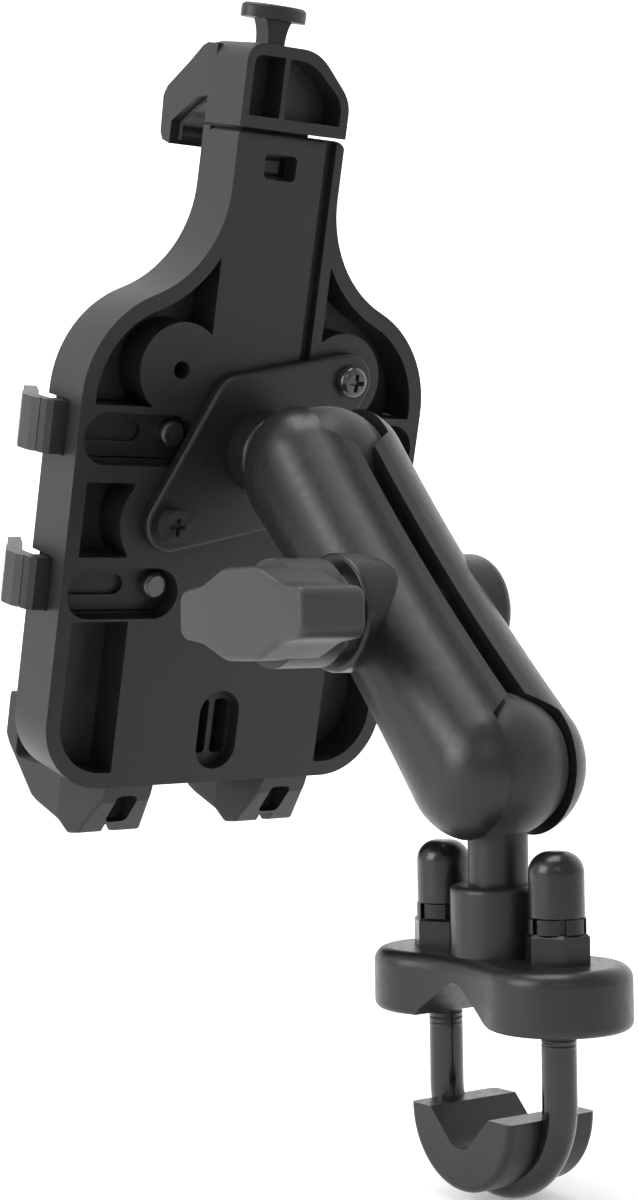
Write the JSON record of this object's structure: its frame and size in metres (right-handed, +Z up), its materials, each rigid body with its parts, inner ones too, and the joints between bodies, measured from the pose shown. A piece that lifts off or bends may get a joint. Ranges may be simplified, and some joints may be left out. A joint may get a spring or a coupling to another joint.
{
  "type": "phone handlebar mount",
  "caption": "Phone holder with spring-loaded top jaw and side clips on a ball-and-socket arm with a wing knob and a U-bolt clamp for a handlebar.",
  "frame": {"origin": "on the handlebar's axis, midway between the U-bolt's legs", "axes": "+X along the handlebar, towards the side with the wing knob; +Z up from the handlebar through the round boss; -Y towards the phone"},
  "size_m": [0.0926, 0.146, 0.2221],
  "materials": {
    "painted_black": "black powder coat",
    "black_rod": "glossy black coated steel",
    "ball_rubber": "black rubber",
    "holder_plastic": "black glass-filled nylon",
    "knob_plastic": "dark grey textured nylon",
    "grip_rubber": "black soft rubber",
    "black_screw": "black zinc plated steel",
    "steel": "plain steel",
    "brass": "brass",
    "cap_plastic": "glossy black plastic"
  },
  "bodies": {
    "base": {"base_plate": "painted_black"},
    "clamp": {"u_bolt": "black_rod", "saddle": "painted_black", "end_cap_front": "cap_plastic", "end_cap_rear": "cap_plastic"},
    "front_nut": {"nut_front": "black_rod"},
    "rear_nut": {"nut_rear": "black_rod"},
    "lower_ball": {"base_ball_cover": "ball_rubber"},
    "arm": {"arm_half_bolt_side": "painted_black", "arm_bolt": "black_screw", "arm_spring": "steel"},
    "arm_outer_half": {"arm_half_knob_side": "painted_black", "knob_washer": "steel"},
    "knob": {"wing_knob": "knob_plastic", "knob_insert": "brass"},
    "upper_ball": {"holder_ball_cover": "ball_rubber"},
    "holder": {"ball_plate": "painted_black", "plate_screws": "black_screw", "plate_nuts": "steel", "holder_body": "holder_plastic", "front_tray": "holder_plastic", "tray_pad": "grip_rubber", "foot_left": "holder_plastic", "foot_right": "holder_plastic", "foot_cover_left": "grip_rubber", "foot_cover_right": "grip_rubber", "foot_screws": "steel"},
    "jaw": {"top_jaw": "holder_plastic", "pull_tab": "holder_plastic", "jaw_pad": "grip_rubber", "jaw_slider": "holder_plastic", "jaw_spring": "steel"},
    "clip_upper_left": {"side_clip_upper_left": "holder_plastic", "clip_tip_upper_left": "grip_rubber", "clip_screw_upper_left": "black_screw"},
    "clip_upper_right": {"side_clip_upper_right": "holder_plastic", "clip_tip_upper_right": "grip_rubber", "clip_screw_upper_right": "black_screw"},
    "clip_lower_left": {"side_clip_lower_left": "holder_plastic", "clip_tip_lower_left": "grip_rubber", "clip_screw_lower_left": "black_screw"},
    "clip_lower_right": {"side_clip_lower_right": "holder_plastic", "clip_tip_lower_right": "grip_rubber", "clip_screw_lower_right": "black_screw"}
  },
  "joints": [
    {"name": "nut_turn_front", "type": "hinge", "parent": "base", "child": "front_nut", "pos_m": [0, 0.0152, 0.02], "axis": [0, 0, 1], "range_deg": [0, 1440]},
    {"name": "nut_turn_rear", "type": "hinge", "parent": "base", "child": "rear_nut", "pos_m": [0, -0.0152, 0.02], "axis": [0, 0, 1], "range_deg": [0, 1440]},
    {"name": "clamp_slide", "type": "slide", "parent": "base", "child": "clamp", "axis": [0, 0, 1], "range_m": [0, 0.004]},
    {"name": "lower_swivel", "type": "hinge", "parent": "base", "child": "lower_ball", "pos_m": [0, 0, 0.05106], "axis": [0, 0, 1], "continuous": true},
    {"name": "arm_tilt", "type": "hinge", "parent": "lower_ball", "child": "arm", "pos_m": [0, 0, 0.05106], "axis": [1, 0, 0], "range_deg": [-104, 20]},
    {"name": "arm_open", "type": "slide", "parent": "arm", "child": "arm_outer_half", "axis": [1, 0, 0], "range_m": [0, 0.00254], "deforming": ["arm_spring"]},
    {"name": "knob_turn", "type": "hinge", "parent": "arm_outer_half", "child": "knob", "pos_m": [0.028, -0.02473, 0.07795], "axis": [1, 0, 0], "range_deg": [0, 720]},
    {"name": "upper_tilt", "type": "hinge", "parent": "arm", "child": "upper_ball", "pos_m": [0, -0.04945, 0.10484], "axis": [1, 0, 0], "range_deg": [-85, 20]},
    {"name": "holder_turn", "type": "hinge", "parent": "upper_ball", "child": "holder", "pos_m": [0, -0.04945, 0.10484], "axis": [0, 0.9694, -0.2453], "continuous": true},
    {"name": "jaw_slide", "type": "slide", "parent": "holder", "child": "jaw", "axis": [0, 0.2453, 0.9694], "range_m": [0, 0.022], "stiffness_N_per_m": 150, "springref_m": -0.012, "deforming": ["jaw_spring"]},
    {"name": "clip_slide_upper_left", "type": "slide", "parent": "holder", "child": "clip_upper_left", "axis": [1, 0, 0], "range_m": [0, 0.01]},
    {"name": "clip_slide_upper_right", "type": "slide", "parent": "holder", "child": "clip_upper_right", "axis": [-1, 0, 0], "range_m": [0, 0.01]},
    {"name": "clip_slide_lower_left", "type": "slide", "parent": "holder", "child": "clip_lower_left", "axis": [1, 0, 0], "range_m": [0, 0.01]},
    {"name": "clip_slide_lower_right", "type": "slide", "parent": "holder", "child": "clip_lower_right", "axis": [-1, 0, 0], "range_m": [0, 0.01]}
  ],
  "couplings": [
    {"joint": "nut_turn_front", "follows": "clamp_slide", "rad_per_m": 6283.2},
    {"joint": "nut_turn_rear", "follows": "clamp_slide", "rad_per_m": 6283.2},
    {"joint": "knob_turn", "follows": "arm_open", "rad_per_m": 4947.4}
  ]
}
